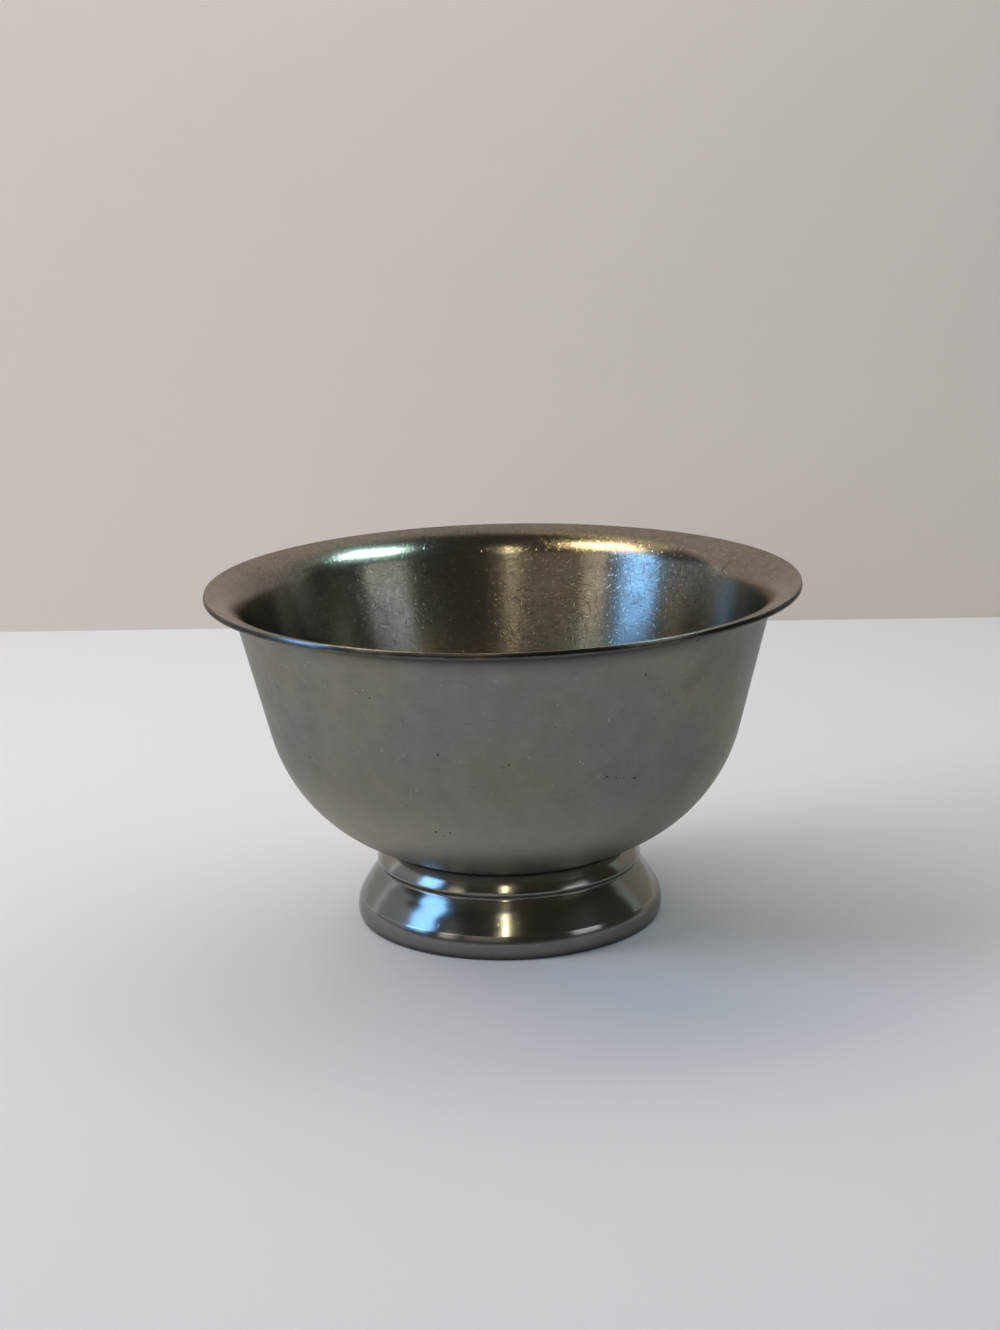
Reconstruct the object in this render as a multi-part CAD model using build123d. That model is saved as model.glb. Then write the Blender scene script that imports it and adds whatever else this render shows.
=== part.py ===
from build123d import *
import os
from math import cos, radians, sin, sqrt

# Footed metal bowl with a flared lip: a spun bowl, a spun hollow foot, and the solder that joins them.
# Millimetres, +Z up. The origin is on the table, under the middle of the foot.
# Every piece is a body of revolution, so each section is drawn as (radius, height) and turned about Z.

# Bowl
rim_radius = 63.5  # outermost point of the lip
rim_height = 73.5  # top of the lip above the table
bowl_wall = 1.3
lip_overhang = 6.0  # how far the lip reaches beyond the corner where wall and lip would meet
lip_curve_radius = 6.0  # outside of the turn from wall to lip
lip_rise_angle = 13.0  # the lip still climbs by this many degrees as it goes out
wall_lean_angle = 13.9  # the wall leans out from upright by this many degrees
belly_radius = 36.0
floor_excess_radius = 5.5  # the nearly flat floor is part of a sphere that much larger than the rim
floor_height = 11.4  # underside of the floor above the table, on the axis

# Foot
foot_radius = 33.2  # fullest point of the base band
band_height = 5.2  # crisp edge at the top of the base band
band_edge_inset = 0.6
base_inset = 0.4
base_ring_width = 2.4  # flat ring that touches the table, before its edges are rounded
base_edge_round = 0.35
ridge_radius = 28.7  # scored ridge around the collar
ridge_height = 13.0
crease_inset = 0.5  # groove under the ridge
crease_drop = 1.2
flare_bulge = 0.2
neck_inset = 2.2  # the collar draws in by this much from the ridge up to the bowl
neck_bulge = 0.2
foot_wall = 1.5  # measured straight across

# Solder
solder_gap = 0.25  # film between the top of the foot and the underside of the bowl
solder_recess = 0.25  # the film stops short of the outer face and leaves a dark line
solder_fillet = 1.0  # bead in the corner inside the foot

axis_down = Vector(0, -1)


def direction(angle_from_level):
    """Unit vector in the section plane, from degrees above level."""
    return Vector(cos(radians(angle_from_level)), sin(radians(angle_from_level)))


# Outline of the bowl's outer face: floor sphere, belly arc, straight wall, lip curve, straight lip
wall_direction = direction(90 - wall_lean_angle)
wall_normal = direction(-wall_lean_angle)
lip_direction = direction(lip_rise_angle)
lip_normal = direction(lip_rise_angle - 90)

rim_centre = Vector(rim_radius - bowl_wall / 2, rim_height - bowl_wall / 2)
lip_end = rim_centre + lip_normal * (bowl_wall / 2)
throat_radius = rim_radius - lip_overhang
throat = lip_end - lip_direction * ((lip_end.X - throat_radius) / cos(radians(lip_rise_angle)))
lip_centre = throat + (wall_normal + lip_normal) * (lip_curve_radius / (1 + wall_normal.dot(lip_normal)))

floor_radius = rim_radius + floor_excess_radius
floor_centre = Vector(0, floor_height + floor_radius)
belly_start = throat - wall_normal * belly_radius - floor_centre
belly_reach = belly_start.dot(wall_direction)
belly_spread = (floor_radius - belly_radius) ** 2 - belly_start.dot(belly_start)
belly_slide = belly_reach + sqrt(belly_reach**2 + belly_spread)
belly_centre = floor_centre + belly_start - wall_direction * belly_slide
floor_end_normal = (belly_centre - floor_centre).normalized()


def arc_about(centre, radius, first_normal, last_normal):
    """Arc around a centre, from one unit normal to another, by the shorter way."""
    middle_normal = (first_normal + last_normal).normalized()
    normals = (first_normal, middle_normal, last_normal)
    return ThreePointArc(*[centre + normal * radius for normal in normals])


def bowl_outline(depth):
    """Edges from the axis to the lip, on a face that lies this deep under the bowl's outer face."""
    floor_arc = arc_about(floor_centre, floor_radius - depth, axis_down, floor_end_normal)
    belly_arc = arc_about(belly_centre, belly_radius - depth, floor_end_normal, wall_normal)
    lip_arc = arc_about(lip_centre, -(lip_curve_radius + depth), wall_normal, lip_normal)
    wall_line = Line(belly_arc @ 1, lip_arc @ 0)
    lip_line = Line(lip_arc @ 1, lip_end - lip_normal * depth)
    return [floor_arc, belly_arc, wall_line, lip_arc, lip_line]


def turned(section):
    """Solid of revolution of a section drawn as (radius, height)."""
    return revolve(Plane.XZ * section, Axis.Z)


def bowl_section():
    """Wall of even thickness, with a half-round edge on the lip."""
    outer = bowl_outline(0)
    inner = bowl_outline(bowl_wall)
    rim_arc = ThreePointArc(outer[-1] @ 1, rim_centre + lip_direction * (bowl_wall / 2), inner[-1] @ 1)
    axis_line = Line(outer[0] @ 0, inner[0] @ 0)
    return make_face(outer + inner + [rim_arc, axis_line])


def bowl_envelope(clearance):
    """Everything inside the bowl's outer face grown by a clearance, used to cut what meets the bowl."""
    outer = bowl_outline(-clearance)
    top_line = Line(outer[-1] @ 1, floor_centre)
    axis_line = Line(floor_centre, outer[0] @ 0)
    return make_face(outer + [top_line, axis_line])


def underside_height(radius):
    """Height of the bowl's outer face at a radius, on its floor or its belly."""
    on_floor = radius <= floor_radius * floor_end_normal.X
    centre = floor_centre if on_floor else belly_centre
    arc_radius = floor_radius if on_floor else belly_radius
    return centre.Y - sqrt(arc_radius**2 - (radius - centre.X) ** 2)


# Corners of the foot's outer face, from the bowl down to the table
neck_radius = ridge_radius - neck_inset
neck = Vector(neck_radius, underside_height(neck_radius))
ridge = Vector(ridge_radius, ridge_height)
crease = Vector(ridge_radius - crease_inset, ridge_height - crease_drop)
band_edge = Vector(foot_radius - band_edge_inset, band_height)
band_middle = Vector(foot_radius, band_height / 2)
base_edge = Vector(foot_radius - base_inset, 0)
across_wall = Vector(foot_wall, 0)


def foot_section():
    """Hollow foot: collar, groove, flare and base band, cut to the bowl's underside with room for solder."""
    inner_neck = neck - across_wall
    inner_crease = crease - across_wall
    inner_band_edge = band_edge - across_wall
    inner_base = base_edge - Vector(base_ring_width, 0)
    blank = make_face(
        [
            SagittaArc(neck, ridge, neck_bulge),
            Line(crease, ridge),
            SagittaArc(crease, band_edge, flare_bulge),
            ThreePointArc(base_edge, band_middle, band_edge),
            Line(base_edge, inner_base),
            Line(inner_base, inner_band_edge),
            SagittaArc(inner_crease, inner_band_edge, flare_bulge),
            Line(inner_crease, inner_neck),
            Line(inner_neck, neck),
        ]
    )
    section = blank - bowl_envelope(solder_gap)
    return fillet(section.vertices().group_by(Axis.Y)[0], base_edge_round)


def solder_section(foot):
    """Film on top of the foot's collar, and a bead in the corner inside it."""
    bead_depth = Vector(0, solder_gap + solder_fillet)
    outer_top = neck - Vector(solder_recess, 0)
    inner_top = neck - across_wall - Vector(solder_fillet, 0)
    inner_low = neck - across_wall - bead_depth
    blank = Polyline(outer_top, inner_top, inner_low, outer_top - bead_depth, close=True)
    return make_face(blank.edges()) - bowl_envelope(0) - foot


def main():
    """Write one STEP file for each piece."""
    os.makedirs("parts", exist_ok=True)
    foot = foot_section()
    export_step(turned(bowl_section()), "parts/bowl.step")
    export_step(turned(foot), "parts/foot.step")
    export_step(turned(solder_section(foot)), "parts/solder_seam.step")


main()
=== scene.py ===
"""Footed pewter bowl: the looks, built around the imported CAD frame."""

import logging
from collections.abc import Callable
from dataclasses import dataclass, field, replace
from enum import Enum
from math import asin, atan2, cos, degrees, pi, radians, sin, sqrt, tan

import bmesh
import bpy
from bmesh.types import BMesh, BMVert
from bpy.types import Material, Node, NodeSocket, NodeTree, Object
from mathutils import Matrix, Vector, noise


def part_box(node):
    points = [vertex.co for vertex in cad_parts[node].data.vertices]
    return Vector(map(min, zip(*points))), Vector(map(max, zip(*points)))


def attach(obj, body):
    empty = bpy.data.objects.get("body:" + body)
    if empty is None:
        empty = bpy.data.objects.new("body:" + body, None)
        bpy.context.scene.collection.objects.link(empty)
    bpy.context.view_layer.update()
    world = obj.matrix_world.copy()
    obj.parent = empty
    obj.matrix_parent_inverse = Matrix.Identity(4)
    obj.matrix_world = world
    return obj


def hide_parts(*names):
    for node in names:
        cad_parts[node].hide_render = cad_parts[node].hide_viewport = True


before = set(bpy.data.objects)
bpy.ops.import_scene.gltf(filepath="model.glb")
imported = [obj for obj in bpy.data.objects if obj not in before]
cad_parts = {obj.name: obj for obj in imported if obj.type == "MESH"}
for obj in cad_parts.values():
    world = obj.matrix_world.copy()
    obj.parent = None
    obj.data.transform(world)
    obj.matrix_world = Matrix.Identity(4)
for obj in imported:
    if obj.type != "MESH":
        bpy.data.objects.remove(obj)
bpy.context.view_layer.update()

log = logging.getLogger("pewter_bowl")

MM = 0.001
BODY = "root"
UP = Vector((0, 0, 1))
CCW_AXIS = Vector((0, -1, 0))
PROFILE_LAYER = "profile_distance"
MERGE_DISTANCE = 0.001 * MM
SCRATCH_RADIUS = 55 * MM  # where scratches keep their true length around the axis

Colour = tuple[float, float, float]
Spots = tuple[tuple[Vector, float], ...]  # place and radius of each
Waves = tuple[tuple[int, float, float], ...]  # count around, strength and phase of each
Stops = dict[str, float]  # named distances along an outline


def section_point(radius: float, height: float) -> Vector:
    """Point of a section, drawn in the XZ plane."""
    return Vector((radius, 0, height))


def heading(angle: float) -> Vector:
    """Unit vector in the XZ plane, from degrees above level."""
    return Vector((cos(radians(angle)), 0, sin(radians(angle))))


class ProfileLine:
    """Chain of edges in the XZ plane, drawn by extruding and spinning its last point."""

    def __init__(self, start: Vector) -> None:
        """Start the line.

        Args:
            start: First point.
        """
        self.mesh: BMesh = bmesh.new()
        self.layer = self.mesh.verts.layers.float.new(PROFILE_LAYER)
        self.tip: BMVert = self.mesh.verts.new(start)
        self.length = 0.0
        self.stops: Stops = {}

    def stop(self, name: str) -> None:
        """Remember how far along the line its last point is."""
        self.stops[name] = self.length

    def line(self, end: Vector, steps: int = 1) -> None:
        """Go straight to a point.

        Args:
            end: Last point of the stretch.
            steps: Number of edges.
        """
        step = (end - self.tip.co) / steps
        self.length += step.length * steps
        for _ in range(steps):
            grown = bmesh.ops.extrude_vert_indiv(self.mesh, verts=[self.tip])
            self.tip = grown["verts"][0]
            bmesh.ops.translate(self.mesh, verts=[self.tip], vec=step)

    def arc(self, centre: Vector, turn: float, steps: int) -> None:
        """Turn around a centre.

        Args:
            centre: Centre of the arc.
            turn: Degrees, counter-clockwise with the radius to the right and the height up.
            steps: Number of edges.
        """
        self.length += (self.tip.co - centre).length * radians(abs(turn))
        grown = bmesh.ops.spin(
            self.mesh, geom=[self.tip], cent=centre, axis=CCW_AXIS, angle=radians(turn), steps=steps
        )
        self.tip = next(part for part in grown["geom_last"] if isinstance(part, BMVert))

    def bulged(self, end: Vector, bulge: float, steps: int) -> None:
        """Go to a point along an arc that stands out from the straight line.

        Args:
            end: Last point of the arc.
            bulge: Height of the arc over its chord, to the left of the way it goes.
            steps: Number of edges.
        """
        start = self.tip.co.copy()
        chord = end - start
        radius = (chord.length_squared / 4 + bulge**2) / (2 * abs(bulge))
        left = Vector((-chord.z, 0, chord.x)).normalized()
        side = 1 if bulge > 0 else -1
        centre = (start + end) / 2 + left * (bulge - side * radius)
        half_turn = asin(min(1, chord.length / 2 / radius))
        self.arc(centre, -side * degrees(2 * half_turn), steps)

    def measure(self) -> None:
        """Write the distance along the line into each point's layer."""
        self.mesh.verts.ensure_lookup_table()
        distance = 0.0
        last = self.mesh.verts[0]
        for vert in self.mesh.verts:
            distance += (vert.co - last.co).length
            vert[self.layer] = distance
            last = vert

    def turned(self, segments: int) -> BMesh:
        """Turn the line about Z into a closed shell.

        Args:
            segments: Number of steps around.

        Returns:
            The same mesh, now a shell.
        """
        self.measure()
        parts = self.mesh.verts[:] + self.mesh.edges[:]
        bmesh.ops.spin(self.mesh, geom=parts, axis=UP, angle=2 * pi, steps=segments, use_merge=True)
        bmesh.ops.remove_doubles(self.mesh, verts=self.mesh.verts[:], dist=MERGE_DISTANCE)
        bmesh.ops.recalc_face_normals(self.mesh, faces=self.mesh.faces[:])
        return self.mesh


def round_rings(mesh: BMesh, rings: list[tuple[Vector, float]]) -> None:
    """Soften sharp rings of a turned shell.

    Args:
        mesh: Shell turned about Z.
        rings: Section point and bevel width of each ring.
    """
    for point, width in rings:
        ring = {
            vert
            for vert in mesh.verts
            if (section_point(vert.co.xy.length, vert.co.z) - point).length < MERGE_DISTANCE
        }
        edges = [edge for edge in mesh.edges if ring.issuperset(edge.verts)]
        bmesh.ops.bevel(mesh, geom=edges, offset=width, affect="EDGES", segments=3, profile=0.5, material=-1)


def waves(angle: float, harmonics: Waves) -> float:
    """Sum of sine waves around the axis, each with its count, strength and phase."""
    return sum(strength * sin(count * angle + phase) for count, strength, phase in harmonics)


def push(mesh: BMesh, move: Callable[[BMVert], Vector]) -> None:
    """Move every point of a shell.

    Args:
        mesh: The shell.
        move: Gives the way that a point goes.
    """
    mesh.normal_update()
    moves = [move(vert) for vert in mesh.verts]
    for vert, way in zip(mesh.verts, moves):
        vert.co += way


def finished_piece(name: str, mesh: BMesh) -> Object:
    """Make a smooth-shaded object of a bmesh.

    Args:
        name: Name of the piece.
        mesh: Mesh in the object's place; it is freed.

    Returns:
        The new object, at the origin.
    """
    data = bpy.data.meshes.new(name)
    mesh.to_mesh(data)
    mesh.free()
    data.polygons.foreach_set("use_smooth", [True] * len(data.polygons))
    piece = bpy.data.objects.new(name, data)
    bpy.context.scene.collection.objects.link(piece)
    return piece


def hand_over(piece: Object, node: str) -> None:
    """Attach a piece to the body, hide the CAD node that it stands for, and log it.

    Args:
        piece: Finished object.
        node: CAD node that it replaces.
    """
    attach(piece, BODY)
    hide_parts(node)
    log.info("%s: %d faces, stands for %s", piece.name, len(piece.data.polygons), node)


# Node trees

Input = NodeSocket | float | tuple
Sockets = bpy.types.bpy_prop_collection


class Nodes:
    """Short way to fill one node tree."""

    def __init__(self, tree: NodeTree) -> None:
        """Take a tree to fill."""
        self.tree = tree

    def fill(self, node: Node, inputs: dict[str | int, Input]) -> None:
        """Link sockets to a node's inputs, or set their values.

        Args:
            node: The node.
            inputs: Socket or value of each input, by name or number.
        """
        for key, value in inputs.items():
            if isinstance(value, NodeSocket):
                self.tree.links.new(value, node.inputs[key])
            else:
                node.inputs[key].default_value = value

    def add(self, kind: str, inputs: dict[str | int, Input] | None = None, **settings: object) -> Node:
        """Add a node.

        Args:
            kind: Name of the node type, without its ShaderNode prefix.
            inputs: Socket or value of each input, by name or number.
            **settings: Properties of the node.

        Returns:
            The new node.
        """
        prefix = "" if kind.startswith("NodeGroup") else "ShaderNode"
        node = self.tree.nodes.new(prefix + kind)
        for name, value in settings.items():
            setattr(node, name, value)
        self.fill(node, inputs or {})
        return node

    def group(self, tree: NodeTree, inputs: dict[str, Input]) -> Node:
        """Place a node group."""
        return self.add("Group", inputs, node_tree=tree)

    def math(self, operation: str, *values: Input) -> NodeSocket:
        """Result of a Math node on numbers or sockets."""
        return self.add("Math", dict(enumerate(values)), operation=operation).outputs[0]

    def plus(self, first: Input, second: Input) -> NodeSocket:
        """Sum of two values."""
        return self.math("ADD", first, second)

    def minus(self, first: Input, second: Input) -> NodeSocket:
        """Difference of two values."""
        return self.math("SUBTRACT", first, second)

    def times(self, first: Input, second: Input) -> NodeSocket:
        """Product of two values."""
        return self.math("MULTIPLY", first, second)

    def vector(self, operation: str, *values: Input, result: str = "Vector") -> NodeSocket:
        """One output of a Vector Math node on vectors or sockets."""
        return self.add("VectorMath", dict(enumerate(values)), operation=operation).outputs[result]

    def scaled(self, vector: Input, factor: Input) -> NodeSocket:
        """Vector times a factor."""
        inputs = {"Vector": vector, "Scale": factor}
        return self.add("VectorMath", inputs, operation="SCALE").outputs["Vector"]

    def combine(self, *values: Input) -> NodeSocket:
        """Join three values into a vector."""
        return self.add("CombineXYZ", dict(enumerate(values))).outputs[0]

    def split(self, vector: Input) -> list[NodeSocket]:
        """Split a vector into its three values."""
        return list(self.add("SeparateXYZ", {0: vector}).outputs)

    def place(self) -> NodeSocket:
        """Place of the shaded point."""
        return self.add("TexCoord").outputs["Object"]

    def outward(self) -> NodeSocket:
        """Unit direction away from the axis, at the shaded point."""
        return self.vector("NORMALIZE", self.vector("MULTIPLY", self.place(), (1, 1, 0)))

    def noise(self, vector: Input, scale: Input, detail: float, roughness: float) -> NodeSocket:
        """Noise of so many cells per unit, from about 0 to 1; detail is its number of octaves."""
        inputs = {"Vector": vector, "Scale": scale, "Detail": detail, "Roughness": roughness}
        return self.add("TexNoise", inputs, normalize=True).outputs["Fac"]

    def cells(self, vector: Input, scale: Input, feature: str = "F1", dimensions: str = "3D") -> Sockets:
        """Outputs of a Voronoi texture of so many cells per unit."""
        inputs = {"Vector": vector, "Scale": scale}
        return self.add("TexVoronoi", inputs, voronoi_dimensions=dimensions, feature=feature).outputs

    def ramp(self, value: Input, low: Input, high: Input) -> NodeSocket:
        """Smooth step up, from 0 at the low value to 1 at the high one."""
        inputs = {"Value": value, "From Min": low, "From Max": high}
        return self.add("MapRange", inputs, interpolation_type="SMOOTHSTEP").outputs["Result"]

    def falloff(self, value: Input, near: Input, far: Input) -> NodeSocket:
        """Smooth step down, from 1 at the near value to 0 at the far one."""
        return self.minus(1.0, self.ramp(value, near, far))

    def spot(self, middle: Vector, radius: float) -> NodeSocket:
        """Round mask around one point of the surface, full over 0.45 of its radius."""
        distance = self.vector("DISTANCE", self.place(), tuple(middle), result="Value")
        return self.falloff(distance, near=0.45 * radius, far=radius)

    def mix(self, share: Input, first: Input, second: Input) -> NodeSocket:
        """Mix of two colours, with so much of the second."""
        first, second = ((*one, 1) if isinstance(one, tuple) else one for one in (first, second))
        return self.add("Mix", {"Factor": share, "A": first, "B": second}, data_type="RGBA").outputs["Result"]

    def total(self, start: float, *terms: tuple[NodeSocket, float]) -> NodeSocket:
        """Add to a start value.

        Args:
            start: The start value.
            *terms: Sockets, each with the factor that it counts by.

        Returns:
            The sum.
        """
        for socket, factor in terms:
            start = self.plus(start, self.times(socket, factor))
        return start


def new_material(name: str) -> tuple[Material, Nodes, Node]:
    """Start a material.

    Args:
        name: Name of the material.

    Returns:
        The material, its tree's filler and its shader.
    """
    material = bpy.data.materials.new(name)
    material.use_nodes = True
    return material, Nodes(material.node_tree), material.node_tree.nodes["Principled BSDF"]


def new_group(name: str, inputs: dict[str, float], *outputs: str) -> tuple[Nodes, Sockets, Node]:
    """Start a shader node group.

    Args:
        name: Name of the group.
        inputs: Default value of each float input.
        *outputs: Names of the float outputs.

    Returns:
        The tree's filler, the sockets of its inputs, and the node that takes its outputs.
    """
    tree = bpy.data.node_groups.new(name, "ShaderNodeTree")
    for label, value in inputs.items():
        socket = tree.interface.new_socket(label, in_out="INPUT", socket_type="NodeSocketFloat")
        socket.default_value = value
    for label in outputs:
        tree.interface.new_socket(label, in_out="OUTPUT", socket_type="NodeSocketFloat")
    nodes = Nodes(tree)
    return nodes, nodes.add("NodeGroupInput").outputs, nodes.add("NodeGroupOutput")


def turning_lines_group() -> NodeTree:
    """Fine rings left by the lathe, which drift a little as they go around.

    Returns:
        Group with the outputs Height and Tone.
    """
    inputs = {"Profile": 0.0, "Lines": 900.0, "Drift": 1.2, "Coarseness": 0.16}
    nodes, given, leave = new_group("turning_lines", inputs, "Height", "Tone")
    rings = nodes.combine(0, 0, nodes.times(given["Profile"], given["Lines"]))
    place = nodes.vector("ADD", nodes.scaled(nodes.outward(), given["Drift"]), rings)
    fine = nodes.noise(place, scale=1.0, detail=5.0, roughness=0.72)
    wide = nodes.vector("MULTIPLY", place, nodes.combine(1, 1, given["Coarseness"]))
    coarse = nodes.noise(wide, scale=1.0, detail=2.0, roughness=0.5)
    nodes.fill(leave, {"Height": nodes.plus(nodes.times(coarse, 0.55), fine), "Tone": fine})
    return nodes.tree


def patina_group() -> NodeTree:
    """Clouds, mottling, stains and hair cracks of an old grey skin.

    Returns:
        Group with the outputs Cloud, Mottle, Stain and Crack.
    """
    nodes, _, leave = new_group("patina", {}, "Cloud", "Mottle", "Stain", "Crack")
    place = nodes.place()
    elsewhere = nodes.vector("ADD", place, (0.31, 0.17, 0.05))
    cloud = nodes.noise(place, scale=38.0, detail=3.0, roughness=0.55)
    mottle = nodes.noise(place, scale=190.0, detail=4.0, roughness=0.62)
    stain = nodes.noise(elsewhere, scale=75.0, detail=5.0, roughness=0.65)
    stain = nodes.ramp(stain, low=0.56, high=0.78)
    drift = nodes.scaled(nodes.combine(mottle, stain, mottle), 4 * MM)
    cells = nodes.cells(nodes.vector("ADD", place, drift), scale=420.0, feature="DISTANCE_TO_EDGE")
    line = nodes.falloff(cells["Distance"], near=0.0, far=0.06)
    broken = nodes.noise(elsewhere, scale=150.0, detail=3.0, roughness=0.7)
    outputs = {
        "Cloud": nodes.ramp(cloud, low=0.32, high=0.68),
        "Mottle": nodes.ramp(mottle, low=0.3, high=0.7),
        "Stain": stain,
        "Crack": nodes.times(line, nodes.ramp(broken, low=0.50, high=0.60)),
    }
    nodes.fill(leave, outputs)
    return nodes.tree


def scratches_group() -> NodeTree:
    """Short, slightly bent scratches, one to a cell, around a mean direction.

    Returns:
        Group with the output Mask.
    """
    names = ("Profile", "Cells", "Width", "Length", "Mean", "Spread", "Seed")
    nodes, given, leave = new_group("scratches", dict.fromkeys(names, 0.0), "Mask")
    x, y, _ = nodes.split(nodes.outward())
    around = nodes.times(nodes.math("ARCTAN2", x, nodes.times(y, -1.0)), SCRATCH_RADIUS)
    flat = nodes.scaled(nodes.combine(around, given["Profile"], 0.0), given["Cells"])
    flat = nodes.vector("ADD", flat, nodes.combine(given["Seed"], given["Seed"], 0.0))
    cells = nodes.cells(flat, scale=1.0, dimensions="2D")
    u, v, _ = nodes.split(nodes.vector("SUBTRACT", flat, cells["Position"]))
    chance, wish, _ = nodes.split(cells["Color"])

    bend = nodes.noise(nodes.vector("MULTIPLY", flat, (1.3, 1.3, 1.0)), scale=1.0, detail=1.0, roughness=0.5)
    spread = nodes.times(nodes.minus(chance, 0.5), given["Spread"])
    angle = nodes.plus(spread, given["Mean"])
    angle = nodes.plus(angle, nodes.times(nodes.minus(bend, 0.5), 0.5))
    ahead, side = nodes.math("COSINE", angle), nodes.math("SINE", angle)
    across = nodes.minus(nodes.times(u, side), nodes.times(v, ahead))
    along = nodes.plus(nodes.times(u, ahead), nodes.times(v, side))

    thin = nodes.falloff(nodes.math("ABSOLUTE", across), near=0.0, far=given["Width"])
    reach = nodes.times(given["Length"], nodes.plus(wish, 0.15))
    short = nodes.falloff(nodes.math("ABSOLUTE", along), near=nodes.times(reach, 0.5), far=reach)
    nodes.fill(leave, {"Mask": nodes.times(nodes.times(thin, short), wish)})
    return nodes.tree


def pits_group() -> NodeTree:
    """Small dark pits, scattered over some of the cells.

    Returns:
        Group with the output Mask.
    """
    nodes, given, leave = new_group("pits", {"Cells": 160.0, "Size": 0.05, "Share": 0.0}, "Mask")
    cells = nodes.cells(nodes.place(), scale=given["Cells"])
    chance, size, _ = nodes.split(cells["Color"])
    radius = nodes.times(given["Size"], nodes.plus(size, 0.4))
    dot = nodes.falloff(cells["Distance"], near=nodes.times(radius, 0.4), far=radius)
    nodes.fill(leave, {"Mask": nodes.times(dot, nodes.math("LESS_THAN", chance, given["Share"]))})
    return nodes.tree


def grain_group() -> NodeTree:
    """Fine grain of tiny dents, stronger in some patches.

    Returns:
        Group with the outputs Height and Speck.
    """
    nodes, given, leave = new_group("grain", {"Scale": 0.0}, "Height", "Speck")
    place = nodes.place()
    fine = nodes.noise(place, scale=given["Scale"], detail=2.0, roughness=0.6)
    patch = nodes.ramp(nodes.noise(place, scale=60.0, detail=2.0, roughness=0.5), low=0.35, high=0.65)
    height = nodes.times(fine, nodes.plus(nodes.times(patch, 0.7), 0.3))
    nodes.fill(leave, {"Height": height, "Speck": nodes.ramp(fine, low=0.64, high=0.78)})
    return nodes.tree


def band_group() -> NodeTree:
    """Soft, uneven band around one value of the profile distance, for worn edges and dirt, and for painted
    sheen and painted shade.

    Returns:
        Group with the output Mask.
    """
    names = ("Profile", "Centre", "Reach", "Unevenness")
    nodes, given, leave = new_group("profile_band", dict.fromkeys(names, 0.0), "Mask")
    distance = nodes.math("ABSOLUTE", nodes.minus(given["Profile"], given["Centre"]))
    band = nodes.falloff(distance, near=0.0, far=given["Reach"])
    gap = nodes.noise(nodes.place(), scale=420.0, detail=3.0, roughness=0.6)
    gap = nodes.times(nodes.ramp(gap, low=0.38, high=0.62), given["Unevenness"])
    nodes.fill(leave, {"Mask": nodes.times(band, nodes.minus(1.0, gap))})
    return nodes.tree


@dataclass
class Effects:
    """Node groups that the finishes share, each built once."""

    turning: NodeTree = field(default_factory=turning_lines_group)
    patina: NodeTree = field(default_factory=patina_group)
    scratches: NodeTree = field(default_factory=scratches_group)
    pits: NodeTree = field(default_factory=pits_group)
    grain: NodeTree = field(default_factory=grain_group)
    band: NodeTree = field(default_factory=band_group)


# Finishes


@dataclass(frozen=True)
class Scratching:
    """One set of scratches.

    Its sizes are spacing, width and length. They and its depth are in millimetres, and its direction
    and spread in degrees, from level. The shine says how far it shows; below zero it is dirt.
    """

    sizes: tuple[float, float, float]
    depth: float
    direction: float
    spread: float
    shine: float
    seed: float = 0.0

    def inputs(self) -> dict[str, float]:
        """Inputs of the scratches group.

        Returns:
            Value of each input, by name.
        """
        spacing, width, length = self.sizes
        return {
            "Cells": 1 / (spacing * MM),
            "Width": width / spacing,
            "Length": length / spacing,
            "Mean": radians(self.direction),
            "Spread": radians(self.spread),
            "Seed": self.seed,
        }


@dataclass(frozen=True)
class Band:
    """Stretch of a turned outline made lighter or darker: by wear and dirt, and in places by painted sheen
    and painted shade.

    It lies around a named stop of the outline. Its half width and offset are in metres.
    """

    stop: str
    reach: float
    strength: float
    lighter: bool
    unevenness: float
    offset: float = 0.0

    def inputs(self, stops: Stops) -> dict[str, float]:
        """Inputs of the band group."""
        centre = stops[self.stop] + self.offset
        return {"Centre": centre, "Reach": self.reach, "Unevenness": self.unevenness}


@dataclass(frozen=True)
class Masks:
    """What one finish places in its tree: groups, and a mask for each kind of mark."""

    turning: Node
    patina: Node
    grain: Node
    pits: NodeSocket
    scratches: list[NodeSocket]
    bands: list[NodeSocket]


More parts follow.
